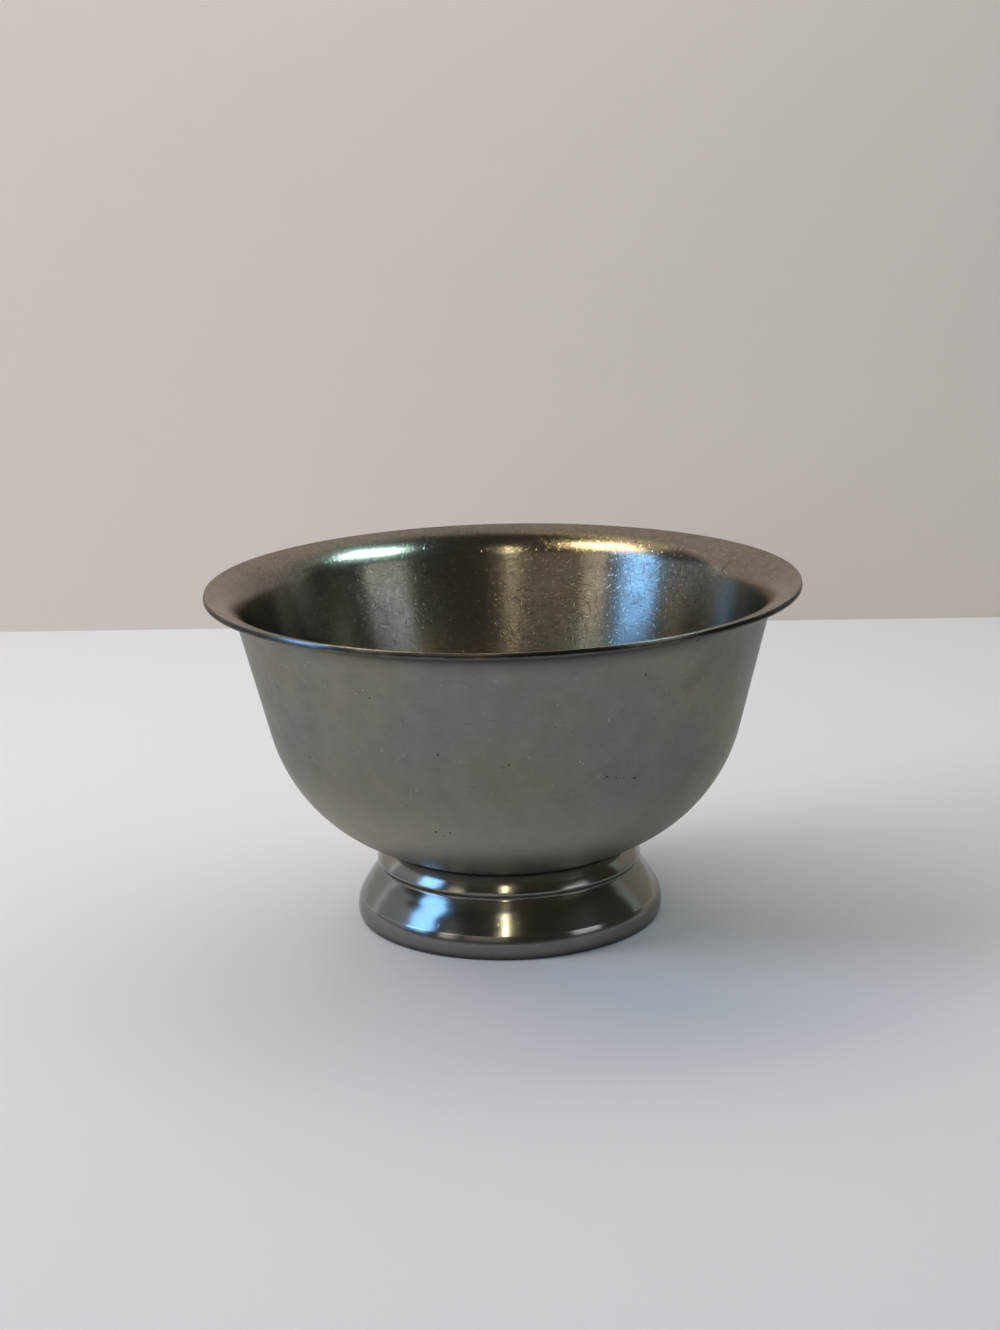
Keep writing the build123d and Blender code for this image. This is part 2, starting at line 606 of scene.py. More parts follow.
@dataclass(frozen=True)
class Pewter:
    """Turned pewter with an old grey skin.

    Colours are reflectances, and depths are in metres.
    """

    name: str
    cool: Colour
    warm: Colour
    dark: Colour
    roughness: float
    brushed: float
    line_depth: float
    brush_turn: float = 0.25
    rim_tint: Colour = (1.0, 1.0, 1.0)
    line_tone: float = 0.22
    mottle_tone: float = 0.16
    stain_tone: float = 0.3
    crack_tone: float = 0.0
    grain_depth: float = 0.0
    grain_scale: float = 1500.0
    speck_shine: float = 0.0
    pit_share: float = 0.06
    pit_depth: float = 0.015 * MM
    pit_tone: float = 0.12
    wear_and_sheen_tone: float = 1.9
    dirt_and_shade_tone: float = 0.3
    mottle_roughness: float = 0.05
    stain_roughness: float = 0.08
    pit_roughness: float = 0.4
    scratchings: tuple[Scratching, ...] = ()
    bands: tuple[Band, ...] = ()
    marks: Spots = ()
    nicks: Spots = ()

    def material(self, effects: Effects, stops: Stops) -> Material:
        """Build the finish.

        Args:
            effects: Shared node groups.
            stops: Named distances along the piece's outline.

        Returns:
            The material.
        """
        material, nodes, shader = new_material(self.name)
        masks = self.masks(nodes, effects, stops)
        patina = masks.patina.outputs
        rough = nodes.total(
            self.roughness,
            (patina["Mottle"], self.mottle_roughness),
            (patina["Stain"], self.stain_roughness),
            (masks.pits, self.pit_roughness),
        )
        height = nodes.total(
            0.0,
            (masks.turning.outputs["Height"], self.line_depth),
            (masks.grain.outputs["Height"], self.grain_depth),
            *((mask, -one.depth * MM) for one, mask in zip(self.scratchings, masks.scratches)),
            (masks.pits, -self.pit_depth),
        )
        bump = nodes.add("Bump", {"Distance": 1.0, "Height": height})
        tangent = nodes.add("Tangent", direction_type="RADIAL", axis="Z")
        inputs = {
            "Base Color": self.colour(nodes, masks),
            "Roughness": rough,
            "Metallic": 1.0,
            "Specular Tint": (*self.rim_tint, 1),
            "Anisotropic": self.brushed,
            "Anisotropic Rotation": self.brush_turn,
            "Tangent": tangent.outputs["Tangent"],
            "Normal": bump.outputs["Normal"],
        }
        nodes.fill(shader, inputs)
        return material

    def masks(self, nodes: Nodes, effects: Effects, stops: Stops) -> Masks:
        """Place the shared groups and the marks.

        Args:
            nodes: Tree to fill.
            effects: Shared node groups.
            stops: Named distances along the piece's outline.

        Returns:
            The groups and masks.
        """

        def placed(tree: NodeTree, sets: list[dict[str, float]]) -> list[NodeSocket]:
            """Masks of one group, placed once for each set of inputs."""
            return [nodes.group(tree, {"Profile": profile, **one}).outputs["Mask"] for one in sets]

        profile = nodes.add("Attribute", attribute_name=PROFILE_LAYER).outputs["Fac"]
        pits = nodes.group(effects.pits, {"Share": self.pit_share}).outputs["Mask"]
        for place, size in self.marks:
            pits = nodes.math("MAXIMUM", pits, nodes.spot(place, size))
        return Masks(
            nodes.group(effects.turning, {"Profile": profile}),
            nodes.group(effects.patina, {}),
            nodes.group(effects.grain, {"Scale": self.grain_scale}),
            pits,
            placed(effects.scratches, [one.inputs() for one in self.scratchings]),
            placed(effects.band, [one.inputs(stops) for one in self.bands]),
        )

    def colour(self, nodes: Nodes, masks: Masks) -> NodeSocket:
        """Lay one tint after another over the skin.

        Args:
            nodes: Tree to fill.
            masks: Groups and masks of the finish.

        Returns:
            The colour.
        """
        patina = masks.patina.outputs
        layers = [
            (masks.turning.outputs["Tone"], self.line_tone, self.dark),
            (patina["Mottle"], self.mottle_tone, self.dark),
            (patina["Stain"], self.stain_tone, self.dark),
            (patina["Crack"], self.crack_tone, self.tint(lighter=False)),
        ]
        for one, mask in zip(self.scratchings, masks.scratches):
            layers.append((mask, abs(one.shine), self.tint(lighter=one.shine > 0)))
        layers.append((masks.grain.outputs["Speck"], self.speck_shine, self.tint(lighter=True)))
        for one, mask in zip(self.bands, masks.bands):
            layers.append((mask, one.strength, self.tint(lighter=one.lighter)))

        colour = nodes.mix(patina["Cloud"], self.cool, self.warm)
        for mask, strength, tint in layers:
            colour = nodes.mix(nodes.times(mask, strength), colour, tint)
        for place, size in self.nicks:
            colour = nodes.mix(nodes.spot(place, size), colour, self.tint(lighter=True))
        return nodes.mix(masks.pits, colour, tuple(self.pit_tone * part for part in self.dark))

    def tint(self, lighter: bool) -> Colour:
        """The lighter colour, of bare worn metal and of painted sheen; else the darker, of dirt and of
        painted shade.
        """
        tone, base = (self.wear_and_sheen_tone, self.warm) if lighter else (self.dirt_and_shade_tone, self.dark)
        return tuple(min(1.0, tone * part) for part in base)


@dataclass(frozen=True)
class Cloth:
    """Plain pale cover of the studio, which shows only its front and casts no shadow."""

    name: str
    colour: Colour
    roughness: float = 0.9
    specular: float = 0.1

    def material(self) -> Material:
        """Build the finish.

        Returns:
            The material.
        """
        material, nodes, shader = new_material(self.name)
        nodes.fill(shader, {"Base Color": (*self.colour, 1), "Roughness": self.roughness})
        nodes.fill(shader, {"Specular IOR Level": self.specular})
        behind = nodes.add("NewGeometry").outputs["Backfacing"]
        shadow = nodes.add("LightPath").outputs["Is Shadow Ray"]
        clear = nodes.add("BsdfTransparent").outputs["BSDF"]
        unseen = nodes.math("MAXIMUM", behind, shadow)
        both = nodes.add("MixShader", {0: unseen, 1: shader.outputs["BSDF"], 2: clear})
        nodes.fill(material.node_tree.nodes["Material Output"], {"Surface": both.outputs[0]})
        return material


# Pieces


@dataclass
class Outline:
    """Outer face of the bowl, as tangent arcs and lines, in metres and degrees."""

    rim_radius: float
    rim_height: float
    wall: float = 1.3 * MM
    lip_overhang: float = 6.0 * MM
    lip_curve_radius: float = 6.0 * MM
    lip_rise: float = 13.0
    wall_lean: float = 13.9
    belly_radius: float = 36.0 * MM
    floor_excess_radius: float = 5.5 * MM
    floor_height: float = 11.4 * MM

    def __post_init__(self) -> None:
        """Work out the centres and joints of the arcs."""
        self.wall_normal = heading(-self.wall_lean)
        self.lip_normal = heading(self.lip_rise - 90)
        self.lip_way = heading(self.lip_rise)
        self.rim_centre = section_point(self.rim_radius - self.wall / 2, self.rim_height - self.wall / 2)
        lip_end = self.rim_centre + self.lip_normal * (self.wall / 2)
        throat_radius = self.rim_radius - self.lip_overhang
        throat = lip_end - self.lip_way * ((lip_end.x - throat_radius) / self.lip_way.x)
        spread = self.lip_curve_radius / (1 + self.wall_normal.dot(self.lip_normal))
        self.lip_centre = throat + (self.wall_normal + self.lip_normal) * spread
        self.floor_radius = self.rim_radius + self.floor_excess_radius
        self.floor_centre = section_point(0, self.floor_height + self.floor_radius)
        way = heading(90 - self.wall_lean)
        start = throat - self.wall_normal * self.belly_radius - self.floor_centre
        reach = start.dot(way)
        gap = self.floor_radius - self.belly_radius
        slide = reach + sqrt(reach**2 - start.length_squared + gap**2)
        self.belly_centre = self.floor_centre + start - way * slide
        self.floor_turn = degrees(asin(self.belly_centre.x / gap))
        self.belly_turn = 90 - self.wall_lean - self.floor_turn
        self.lip_turn = 90 - self.wall_lean - self.lip_rise

    def wall_top(self, depth: float) -> Vector:
        """Upper end of the straight wall, at a depth under the outer face."""
        return self.lip_centre - self.wall_normal * (self.lip_curve_radius + depth)

    def wall_foot(self, depth: float) -> Vector:
        """Lower end of the straight wall, at a depth under the outer face."""
        return self.belly_centre + self.wall_normal * (self.belly_radius - depth)

    def underside(self, radius: float) -> Vector:
        """Point of the bowl's underside at a radius, on its floor."""
        return section_point(radius, self.floor_centre.z - sqrt(self.floor_radius**2 - radius**2))

    def outside(self, azimuth: float, height: float) -> Vector:
        """Find a point of the outer face, on the belly or the wall.

        Args:
            azimuth: Degrees from the front, towards the right.
            height: Height above the table.

        Returns:
            The point.
        """
        wall_foot = self.wall_foot(0)
        radius = wall_foot.x + (height - wall_foot.z) * tan(radians(self.wall_lean))
        if height < wall_foot.z:
            drop = self.belly_centre.z - height
            radius = self.belly_centre.x + sqrt(self.belly_radius**2 - drop**2)
        return Vector((radius * sin(radians(azimuth)), -radius * cos(radians(azimuth)), height))


@dataclass
class BowlShell:
    """Spun bowl: floor, belly, wall and flared lip in one sheet."""

    outline: Outline
    segments: int = 320
    floor_steps: int = 26
    belly_steps: int = 30
    wall_steps: int = 20
    lip_steps: int = 16
    edge_round: float = 0.1 * MM
    edge_round_low: float = 0.55 * MM
    edge_reach: float = 0.6 * MM
    lobe_depth: float = 0.12 * MM
    lobes: Waves = ((2, 1.0, 0.6), (3, 0.6, 2.1))
    lifts: Waves = ((2, 0.5, 1.9), (5, 0.25, 0.0))
    ripple_depth: float = 0.012 * MM
    ripple_length: float = 7.0 * MM
    ripple_drift: float = 0.4
    still_share: float = 0.125
    stops: Stops = field(default_factory=dict)

    def build(self) -> Object:
        """Draw the section and turn it.

        Returns:
            The piece, not yet dressed.
        """
        shape = self.outline
        line = ProfileLine(section_point(0, shape.floor_height))
        self.stops = line.stops
        line.arc(shape.floor_centre, shape.floor_turn, self.floor_steps)
        line.stop("belly_low")
        line.arc(shape.belly_centre, shape.belly_turn, self.belly_steps)
        line.line(shape.wall_top(0), self.wall_steps)
        line.arc(shape.lip_centre, -shape.lip_turn, self.lip_steps)
        self.draw_edge(line)
        line.arc(shape.lip_centre, shape.lip_turn, self.lip_steps)
        line.line(shape.wall_foot(shape.wall), self.wall_steps)
        line.arc(shape.belly_centre, -shape.belly_turn, self.belly_steps)
        line.arc(shape.floor_centre, -shape.floor_turn, self.floor_steps)
        mesh = line.turned(self.segments)
        layer = mesh.verts.layers.float[PROFILE_LAYER]
        push(mesh, lambda vert: self.unevenness(vert, vert[layer]))
        return finished_piece("bowl_shell", mesh)

    def draw_edge(self, line: ProfileLine) -> None:
        """Draw the flat edge of the lip, with its two rounded corners.

        Args:
            line: Line that has come to the end of the lip's curve.
        """
        shape = self.outline
        face = shape.rim_centre + shape.lip_way * self.edge_reach
        across = shape.lip_normal * (shape.wall / 2)
        low_centre = face + across - (shape.lip_way + shape.lip_normal) * self.edge_round_low
        high_centre = face - across - (shape.lip_way - shape.lip_normal) * self.edge_round
        line.line(low_centre + shape.lip_normal * self.edge_round_low, steps=3)
        line.arc(low_centre, 90, steps=7)
        line.stop("edge_low")
        line.line(high_centre + shape.lip_way * self.edge_round)
        line.arc(high_centre, 90, steps=4)
        line.stop("edge_high")
        inner_start = shape.lip_centre - shape.lip_normal * (shape.lip_curve_radius + shape.wall)
        line.line(inner_start, steps=3)

    def unevenness(self, vert: BMVert, distance: float) -> Vector:
        """Trace of hand spinning: a rim slightly out of round, and faint ripples.

        Args:
            vert: Point of the shell.
            distance: How far along the outline it lies.

        Returns:
            The way that it goes; the middle of the floor stays still.
        """
        angle = atan2(vert.co.y, vert.co.x)
        out = Vector((vert.co.x, vert.co.y, 0)) / self.outline.rim_radius
        lobe = self.lobe_depth * (vert.co.z / self.outline.rim_height) ** 2
        drift = Vector((0, cos(angle), sin(angle))) * self.ripple_drift
        ripple = noise.noise(Vector((distance / self.ripple_length, drift.y, drift.z)))
        fade = min(1.0, out.length / self.still_share)
        return (
            out * (lobe * waves(angle, self.lobes))
            + UP * (lobe * waves(angle, self.lifts))
            + vert.normal * (self.ripple_depth * ripple * fade)
        )

    def dress(self, piece: Object, finishes: list[Material]) -> None:
        """Give the outside, the lip's edge and the inside their finishes.

        Args:
            piece: The bowl.
            finishes: Materials of the outside, the edge and the inside.
        """
        for finish in finishes:
            piece.data.materials.append(finish)
        distances = piece.data.attributes[PROFILE_LAYER].data
        for face in piece.data.polygons:
            mean = sum(distances[index].value for index in face.vertices) / len(face.vertices)
            face.material_index = (mean > self.stops["edge_low"]) + (mean > self.stops["edge_high"])


@dataclass
class FootRing:
    """Spun hollow foot: collar, ridge, groove, flare and base band."""

    outline: Outline
    foot_radius: float
    solder_gap: float = 0.25 * MM
    band_height: float = 5.2 * MM
    band_edge_inset: float = 0.6 * MM
    band_edge_round: float = 0.1 * MM
    base_inset: float = 0.4 * MM
    base_ring_width: float = 2.4 * MM
    base_edge_round: float = 0.6 * MM
    ridge_radius: float = 28.7 * MM
    ridge_height: float = 13.0 * MM
    ridge_round: float = 0.12 * MM
    crease_inset: float = 0.5 * MM
    crease_drop: float = 1.2 * MM
    crease_round: float = 0.3 * MM
    flare_bulge: float = 0.2 * MM
    neck_inset: float = 2.2 * MM
    neck_bulge: float = 0.2 * MM
    wall: float = 1.5 * MM
    ripple_depth: float = 0.055 * MM
    ripple_length: float = 2.6 * MM
    ripple_drift: float = 1.6
    ripple_slant: float = 0.8
    ripple_fade: float = 1.0 * MM
    segments: int = 320
    stops: Stops = field(default_factory=dict)

    def __post_init__(self) -> None:
        """Work out the corners of the outer face."""
        neck_radius = self.ridge_radius - self.neck_inset
        drop = section_point(0, self.solder_gap)
        self.neck = self.outline.underside(neck_radius) - drop
        self.inner_neck = self.outline.underside(neck_radius - self.wall) - drop
        self.ridge = section_point(self.ridge_radius, self.ridge_height)
        self.crease = self.ridge - section_point(self.crease_inset, self.crease_drop)
        self.band_edge = section_point(self.foot_radius - self.band_edge_inset, self.band_height)
        self.base_edge = section_point(self.foot_radius - self.base_inset, 0)

    def build(self) -> Object:
        """Draw the section and turn it.

        Returns:
            The piece, not yet dressed.
        """
        across = section_point(self.wall, 0)
        inner_base = self.base_edge - section_point(self.base_ring_width, 0)
        line = ProfileLine(self.neck)
        self.stops = line.stops
        line.stop("neck")
        line.bulged(self.ridge, self.neck_bulge, steps=8)
        line.stop("ridge")
        line.line(self.crease, steps=3)
        line.stop("crease")
        line.bulged(self.band_edge, self.flare_bulge, steps=20)
        line.stop("band_edge")
        line.bulged(self.base_edge, self.band_bulge(), steps=6)
        line.stop("base_edge")
        line.line(inner_base, steps=2)
        line.line(self.band_edge - across, steps=6)
        line.bulged(self.crease - across, -self.flare_bulge, steps=12)
        line.line(self.inner_neck, steps=6)
        line.line(self.neck, steps=3)
        self.stops["collar"] = (self.stops["neck"] + self.stops["ridge"]) / 2
        self.stops["groove"] = (self.stops["ridge"] + 2 * self.stops["crease"]) / 3
        mesh = line.turned(self.segments)
        rings = [
            (self.ridge, self.ridge_round),
            (self.crease, self.crease_round),
            (self.band_edge, self.band_edge_round),
            (self.base_edge, self.base_edge_round),
            (inner_base, self.base_edge_round),
        ]
        round_rings(mesh, rings)
        push(mesh, self.ripple)
        return finished_piece("foot_ring", mesh)

    def ripple(self, vert: BMVert) -> Vector:
        """Faint ripple that makes the reflections waver, and fades out above the base.

        Args:
            vert: Point of the shell.

        Returns:
            The way that it goes.
        """
        way = vert.co.xy.normalized() * self.ripple_drift
        along = (vert.co.z - self.ripple_slant * vert.co.xy.length) / self.ripple_length
        height = noise.noise(Vector((way.x, way.y, along)))
        fade = min(1.0, max(0.0, vert.co.z - self.base_edge_round) / self.ripple_fade)
        return vert.normal * (self.ripple_depth * height * fade)

    def band_bulge(self) -> float:
        """Height of the base band over the straight line between its edges."""
        return self.foot_radius - (self.band_edge.x + self.base_edge.x) / 2

    def dress(self, piece: Object, finish: Material) -> None:
        """Give the whole foot one finish."""
        piece.data.materials.append(finish)


@dataclass
class SolderBead:
    """Solder between foot and bowl: a film, and a hollow bead in the corner inside the foot."""

    foot: FootRing
    recess: float = 0.25 * MM
    bead: float = 0.9 * MM
    bead_lap: float = 0.18 * MM
    bead_drop: float = 0.54 * MM
    bead_hollow: float = 0.108 * MM
    unevenness: float = 0.12 * MM
    waviness: float = 180.0
    segments: int = 240

    def build(self) -> Object:
        """Draw the section and turn it.

        Returns:
            The piece, not yet dressed.
        """
        underside = self.foot.outline.underside
        inner_radius = self.foot.inner_neck.x
        outer = underside(self.foot.neck.x - self.recess)
        inner = underside(inner_radius)
        film = section_point(0, self.foot.solder_gap)
        line = ProfileLine(outer)
        line.line(outer - film)
        line.line(inner - film, steps=2)
        line.line(inner - film - section_point(-self.bead_lap, self.bead_drop), steps=2)
        line.bulged(underside(inner_radius - self.bead), -self.bead_hollow, steps=5)
        line.line(inner, steps=2)
        line.line(outer, steps=2)
        mesh = line.turned(self.segments)
        for vert in mesh.verts:
            if vert.co.xy.length < inner_radius - MERGE_DISTANCE:
                pull = noise.noise(Vector((vert.co.x, vert.co.y, 0)) * self.waviness)
                vert.co.xy *= 1 + self.unevenness * pull / inner_radius
        return finished_piece("solder_bead", mesh)

    def dress(self, piece: Object, finish: Material) -> None:
        """Give the solder its dull finish."""
        piece.data.materials.append(finish)


# Camera and studio


@dataclass(frozen=True)
class PhotoCamera:
    """Camera at the photograph's viewing angle: place in metres, turns in degrees, focal length in pixels."""

    place: Vector = Vector((0, -0.5207, 0.1884))
    pitch: float = 14.36
    yaw: float = -0.10
    roll: float = -1.45
    focal_pixels: float = 2500.0
    frame_height: int = 1330
    sensor: float = 36.0

    def add(self) -> None:
        """Create the camera and make it the scene's own."""
        yaw, pitch, roll = radians(self.yaw), radians(self.pitch), radians(self.roll)
        level = Vector((cos(yaw), -sin(yaw), 0))
        forward = Vector((sin(yaw) * cos(pitch), cos(yaw) * cos(pitch), -sin(pitch)))
        right = level * cos(roll) + level.cross(forward) * sin(roll)
        data = bpy.data.cameras.new("photo_camera")
        data.sensor_width = self.sensor
        data.lens = self.focal_pixels * self.sensor / self.frame_height
        camera = bpy.data.objects.new("photo_camera", data)
        turn = Matrix((right, right.cross(forward), -forward)).transposed()
        camera.matrix_world = Matrix.Translation(self.place) @ turn.to_4x4()
        bpy.context.scene.collection.objects.link(camera)
        bpy.context.scene.camera = camera


class Glow(Enum):
    """Colours of the studio's lights."""

    DAYLIGHT = (0.22, 0.50, 1.0)
    WARM_WALL = (1.0, 0.82, 0.50)
    COOL_WHITE = (0.76, 1.0, 1.0)
    TEAL = (0.57, 0.95, 1.0)
    PLASTER = (1.0, 0.93, 0.82)
    LAMP = (1.0, 0.90, 0.62)
    BACKDROP = (1.0, 0.80, 0.66)
    NEUTRAL = (0.83, 0.90, 1.0)
    CEILING = (1.0, 0.92, 0.84)
    SHADE = (0.74, 0.93, 1.0)


class Shown(Enum):
    """What a light may be seen in."""

    METAL = "metal"
    CLOTH = "cloth"


@dataclass(frozen=True)
class SoftBox:
    """Rectangular light that faces the bowl.

    It stands towards an azimuth, in degrees clockwise from the back, and an elevation. Its width and
    height span two angles, seen from the bowl.
    """

    name: str
    glow: Glow
    towards: tuple[float, float]
    spans: tuple[float, float]
    radiance: float
    distance: float

    def add(self, target: Vector, shown: Shown) -> None:
        """Create the light.

        Args:
            target: Point that it faces.
            shown: What it lights.
        """
        azimuth, elevation = (radians(angle) for angle in self.towards)
        level = Vector((sin(azimuth), cos(azimuth), 0))
        way = level * cos(elevation) + UP * sin(elevation)
        data = bpy.data.lights.new(self.name, "AREA")
        data.shape = "RECTANGLE"
        data.size, data.size_y = (2 * self.distance * tan(radians(span / 2)) for span in self.spans)
        data.color = self.glow.value
        data.energy = self.radiance * data.size * data.size_y * pi
        light = bpy.data.objects.new(self.name, data)
        turn = way.to_track_quat("Z", "Y").to_matrix().to_4x4()
        light.matrix_world = Matrix.Translation(target + way * self.distance) @ turn
        light.visible_camera = False
        light.visible_glossy = shown is Shown.METAL
        light.visible_diffuse = shown is Shown.CLOTH
        bpy.context.scene.collection.objects.link(light)


METAL_LIGHTS = (
    SoftBox("window", Glow.DAYLIGHT, towards=(-107, 24), spans=(18, 38), radiance=6.8, distance=0.36),
    SoftBox("window_side", Glow.NEUTRAL, towards=(-76, 12), spans=(42, 28), radiance=0.46, distance=0.5),
    SoftBox("warm_wall", Glow.WARM_WALL, towards=(-106, 60), spans=(24, 17), radiance=16.5, distance=0.30),
    SoftBox("warm_corner", Glow.PLASTER, towards=(-133, 16), spans=(12, 22), radiance=1.35, distance=0.6),
    SoftBox("side_panel", Glow.TEAL, towards=(93.5, 54), spans=(25, 12), radiance=29.0, distance=0.9),
    SoftBox("low_panel", Glow.NEUTRAL, towards=(122, 13), spans=(22, 13), radiance=1.5, distance=0.9),
    SoftBox("side_wall", Glow.COOL_WHITE, towards=(61, 16), spans=(26, 26), radiance=0.43, distance=0.8),
    SoftBox("high_panel", Glow.LAMP, towards=(-30, 64), spans=(60, 18), radiance=1.0, distance=0.8),
    SoftBox("far_wall", Glow.PLASTER, towards=(-162, 15), spans=(32, 14), radiance=0.42, distance=0.9),
    SoftBox("lamp", Glow.LAMP, towards=(-175.5, 37), spans=(2.2, 19.0), radiance=19.0, distance=0.7),
    SoftBox("hollow", Glow.NEUTRAL, towards=(0, -90), spans=(55, 55), radiance=0.45, distance=0.038),
)

CLOTH_LIGHTS = (
    SoftBox("key", Glow.NEUTRAL, towards=(-100, 25), spans=(24, 24), radiance=9.2, distance=1.4),
    SoftBox("fill", Glow.SHADE, towards=(72, 48), spans=(34, 24), radiance=1.2, distance=0.8),
    SoftBox("front_low", Glow.SHADE, towards=(-160, 15), spans=(40, 20), radiance=2.2, distance=0.9),
    SoftBox("overhead", Glow.CEILING, towards=(0, 60), spans=(50, 40), radiance=1.7, distance=0.38),
    SoftBox("backdrop_wash", Glow.BACKDROP, towards=(-70, 54), spans=(30, 30), radiance=2.6, distance=0.75),
)


@dataclass
class Studio:
    """Pale floor, pale backdrop and soft light."""

    target: Vector
    floor_size: float = 1.7
    backdrop_place: float = 268 * MM
    backdrop_width: float = 1.1
    backdrop_height: float = 0.6
    backdrop_turn: float = -2.5
    floor_cloth: Cloth = Cloth("pale_floor", (0.74, 0.73, 0.745))
    backdrop_cloth: Cloth = Cloth("pale_backdrop", (0.70, 0.625, 0.56))
    room: Colour = (0.060, 0.055, 0.046)
    sky: Colour = (0.60, 0.56, 0.54)
    haze: Colour = (0.25, 0.27, 0.30)

    def build(self) -> None:
        """Add the floor, the backdrop, the room and the lights."""
        self.stage("floor", Matrix.Diagonal((self.floor_size, self.floor_size, 1, 1)), self.floor_cloth)
        upright = (
            Matrix.Translation((0, self.backdrop_place, 0))
            @ Matrix.Rotation(radians(self.backdrop_turn), 4, "Z")
            @ Matrix.Translation((0, 0, self.backdrop_height / 2))
            @ Matrix.Rotation(pi / 2, 4, "X")
            @ Matrix.Diagonal((self.backdrop_width, self.backdrop_height, 1, 1))
        )
        self.stage("backdrop", upright, self.backdrop_cloth)
        self.light_room()
        for shown, boxes in ((Shown.METAL, METAL_LIGHTS), (Shown.CLOTH, CLOTH_LIGHTS)):
            for box in boxes:
                box.add(self.target, shown)
            log.info("studio: %d lights for the %s", len(boxes), shown.value)
        bpy.context.scene.view_settings.view_transform = "Standard"

    def stage(self, name: str, place: Matrix, cloth: Cloth) -> None:
        """Add a flat part of the studio.

        Args:
            name: Name of the object.
            place: Size and place that a unit square is brought to.
            cloth: Its finish.
        """
        mesh = bmesh.new()
        bmesh.ops.create_grid(mesh, x_segments=1, y_segments=1, size=0.5, matrix=place)
        thing = finished_piece(name, mesh)
        thing.data.materials.append(cloth.material())

    def light_room(self) -> None:
        """Make the room dim for the metal, hazy for the cloth and pale past the backdrop."""
        world = bpy.data.worlds.new("studio")
        world.use_nodes = True
        nodes = Nodes(world.node_tree)
        path = nodes.add("LightPath").outputs
        unseen = nodes.mix(path["Is Diffuse Ray"], self.room, self.haze)
        seen = nodes.mix(path["Is Camera Ray"], unseen, self.sky)
        nodes.fill(world.node_tree.nodes["Background"], {"Color": seen})
        bpy.context.scene.world = world


# Marks on the outside: degrees from the front towards the right, and height and radius in millimetres

PITS = (
    (22.98, 43.61, 0.30), (25.30, 43.07, 0.22), (27.40, 42.76, 0.22), (30.42, 42.27, 0.32),
    (-18.38, 32.06, 0.34), (-16.56, 31.12, 0.22), (-14.72, 32.05, 0.30), (-16.86, 33.73, 0.20),
    (29.58, 64.81, 0.34), (-28.63, 61.47, 0.26), (-14.84, 50.17, 0.28), (10.26, 55.71, 0.20),
    (-51.70, 44.84, 0.28), (44.95, 61.38, 0.24), (-57.63, 59.12, 0.28),
)

NICKS = (
    (-50.69, 64.85, 0.26), (-50.22, 64.28, 0.20), (-39.89, 62.58, 0.24), (-29.97, 63.05, 0.22),
    (-5.46, 31.00, 0.26), (16.17, 47.74, 0.24), (16.90, 47.23, 0.18), (-21.07, 41.99, 0.20),
)

# Satin, and lighter low on the belly with a painted reflection of the floor beside the foot

OUTSIDE_FINISH = Pewter(
    name="pewter_outside",
    cool=(0.235, 0.243, 0.22),
    warm=(0.274, 0.25, 0.204),
    dark=(0.15, 0.145, 0.115),
    rim_tint=(0.7, 0.7, 0.7),
    roughness=0.34,
    brushed=0.3,
    line_depth=0.004 * MM,
    mottle_tone=0.25,
    pit_share=0.12,
    crack_tone=0.1,
    grain_depth=0.0015 * MM,
    scratchings=(
        Scratching((9, 0.15, 2.0), depth=0.004, direction=60, spread=160, shine=0.25),
        Scratching((6, 0.22, 0.5), depth=0.012, direction=90, spread=180, shine=0.5, seed=7.0),
        Scratching((5, 0.16, 0.8), depth=0.003, direction=0, spread=90, shine=-0.4, seed=3.0),
    ),
    bands=(
        # painted reflection of the floor beside the foot, lighter low on the belly
        Band("belly_low", reach=21 * MM, strength=0.7, lighter=True, unevenness=0.15, offset=11 * MM),
        Band("edge_low", reach=1.1 * MM, strength=0.9, lighter=False, unevenness=0.25),
    ),
)

# Dark on its face, and worn bright along its upper corner

EDGE_FINISH = Pewter(
    name="pewter_edge",
    cool=(0.13, 0.12, 0.11),
    warm=(0.15, 0.13, 0.11),
    dark=(0.06, 0.055, 0.045),
    rim_tint=(0.6, 0.6, 0.6),
    roughness=0.2,
    brushed=0.0,
    line_depth=0.0,
    line_tone=0.0,
    mottle_tone=0.6,
    stain_tone=0.5,
    grain_depth=0.008 * MM,
    speck_shine=0.8,
    bands=(
        Band("edge_low", reach=0.5 * MM, strength=0.8, lighter=False, unevenness=0.3),
        Band("edge_high", reach=0.3 * MM, strength=0.6, lighter=True, unevenness=0.7, offset=-0.1 * MM),
    ),
)

# Brushed, and scratched by use

INSIDE_FINISH = Pewter(
    name="pewter_inside",
    cool=(0.255, 0.25, 0.222),
    warm=(0.28, 0.245, 0.195),
    dark=(0.14, 0.12, 0.085),
    rim_tint=(0.88, 0.84, 0.79),
    roughness=0.2,
    brushed=0.72,
    line_depth=0.006 * MM,
    mottle_tone=0.3,
    crack_tone=0.5,
    grain_depth=0.007 * MM,
    grain_scale=1700.0,
    speck_shine=0.5,
    scratchings=(
        Scratching((2.4, 0.13, 1.4), depth=0.007, direction=90, spread=50, shine=-0.5, seed=1.0),
        Scratching((1.8, 0.13, 1.4), depth=0.007, direction=0, spread=40, shine=-0.6, seed=5.0),
        Scratching((2.6, 0.15, 0.8), depth=0.008, direction=70, spread=170, shine=0.9, seed=11.0),
        Scratching((1.3, 0.14, 0.3), depth=0.012, direction=45, spread=180, shine=1.0, seed=17.0),
    ),
)
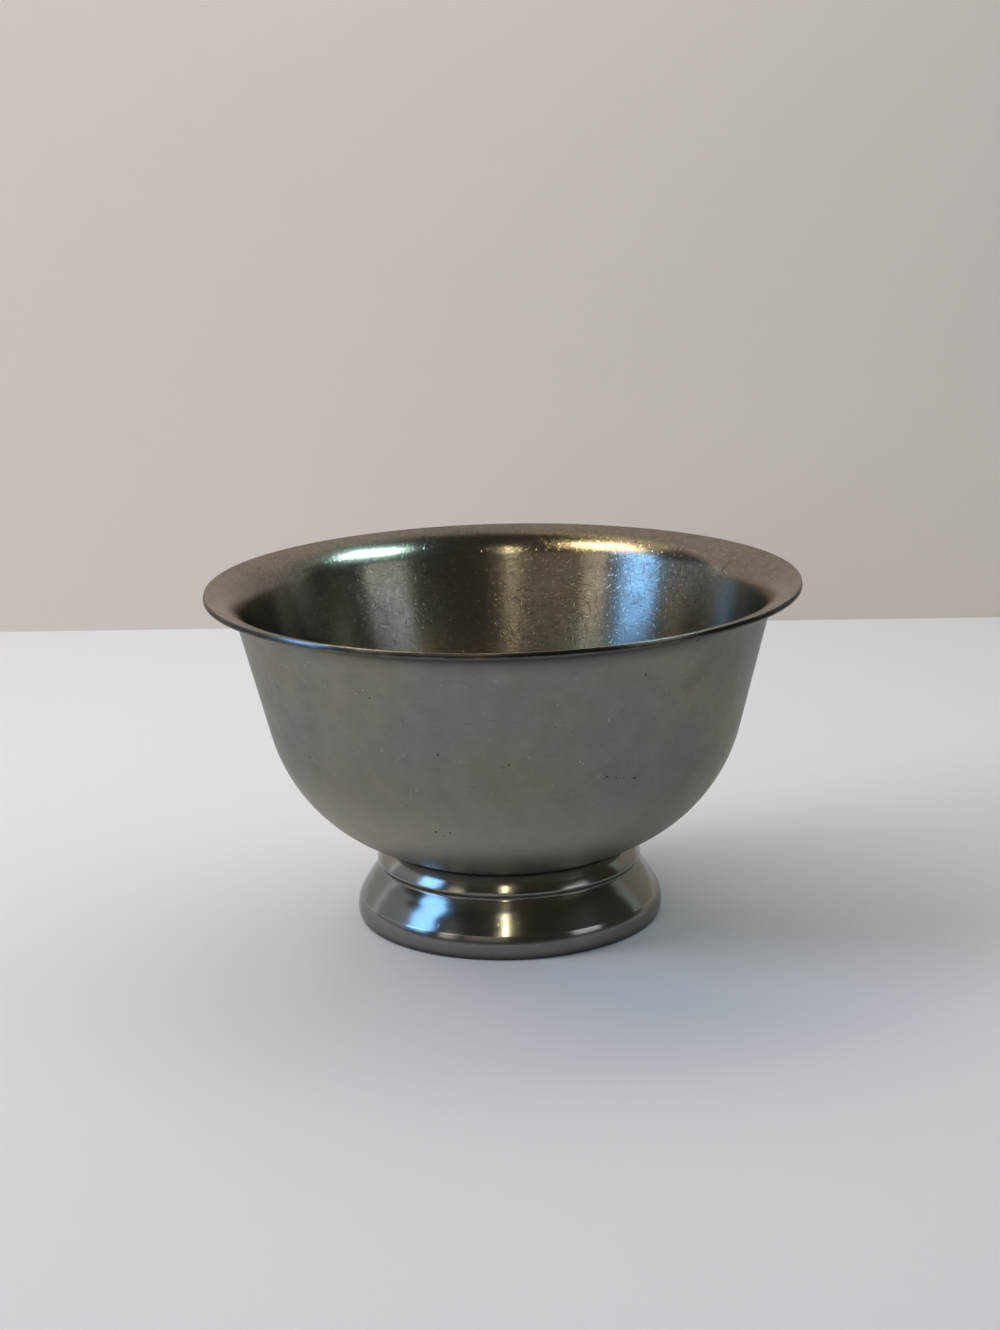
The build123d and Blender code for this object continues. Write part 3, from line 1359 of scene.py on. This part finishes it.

# Polished and worn on its edges, with painted sheen on the collar, painted shade at the neck and in the
# groove, and a painted contact shadow along the base

FOOT_FINISH = Pewter(
    name="pewter_foot",
    cool=(0.25, 0.26, 0.25),
    warm=(0.28, 0.26, 0.218),
    dark=(0.14, 0.13, 0.10),
    rim_tint=(0.8, 0.8, 0.8),
    roughness=0.15,
    brushed=0.35,
    line_depth=0.002 * MM,
    stain_tone=0.7,
    grain_depth=0.003 * MM,
    scratchings=(
        Scratching((7, 0.12, 1.8), depth=0.004, direction=30, spread=120, shine=0.3),
        Scratching((6, 0.2, 0.4), depth=0.008, direction=90, spread=180, shine=0.4, seed=7.0),
    ),
    bands=(
        # painted sheen on the collar, where it reflects a dim part of the room
        Band("collar", reach=2.4 * MM, strength=0.2, lighter=True, unevenness=0.1),
        # dark joint, with painted shade where the foot meets the bowl
        Band("neck", reach=0.35 * MM, strength=0.8, lighter=False, unevenness=0.2),
        Band("ridge", reach=0.16 * MM, strength=0.7, lighter=True, unevenness=0.3),
        # painted shade in the groove under the ridge
        Band("groove", reach=0.5 * MM, strength=0.7, lighter=False, unevenness=0.3),
        Band("band_edge", reach=0.16 * MM, strength=0.6, lighter=True, unevenness=0.4),
        # painted contact shadow, darker towards the bottom of the base band
        Band("base_edge", reach=2.1 * MM, strength=1.0, lighter=False, unevenness=0.15),
    ),
)

OLD_SOLDER = Pewter(
    name="old_solder",
    cool=(0.10, 0.10, 0.10),
    warm=(0.13, 0.12, 0.11),
    dark=(0.05, 0.05, 0.05),
    roughness=0.45,
    brushed=0.0,
    line_depth=0.0,
    grain_depth=0.01 * MM,
)


def main() -> None:
    """Build every piece around the frame."""
    logging.basicConfig(level=logging.INFO, format="%(name)s: %(message)s")
    _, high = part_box("bowl")
    outline = Outline(rim_radius=high[0], rim_height=high[2])
    PhotoCamera().add()
    effects = Effects()

    marks, nicks = (
        tuple((outline.outside(azimuth, height * MM), size * MM) for azimuth, height, size in spots)
        for spots in (PITS, NICKS)
    )
    finishes = (replace(OUTSIDE_FINISH, marks=marks, nicks=nicks), EDGE_FINISH, INSIDE_FINISH)
    bowl = BowlShell(outline)
    bowl_piece = bowl.build()
    bowl.dress(bowl_piece, [finish.material(effects, bowl.stops) for finish in finishes])
    hand_over(bowl_piece, "bowl")

    foot = FootRing(outline, foot_radius=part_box("foot")[1][0])
    foot_piece = foot.build()
    foot.dress(foot_piece, FOOT_FINISH.material(effects, foot.stops))
    hand_over(foot_piece, "foot")

    solder = SolderBead(foot)
    solder_piece = solder.build()
    solder.dress(solder_piece, OLD_SOLDER.material(effects, stops={}))
    hand_over(solder_piece, "solder_seam")

    Studio(Vector((0, 0, 40 * MM))).build()


if __name__ == "__main__":
    main()
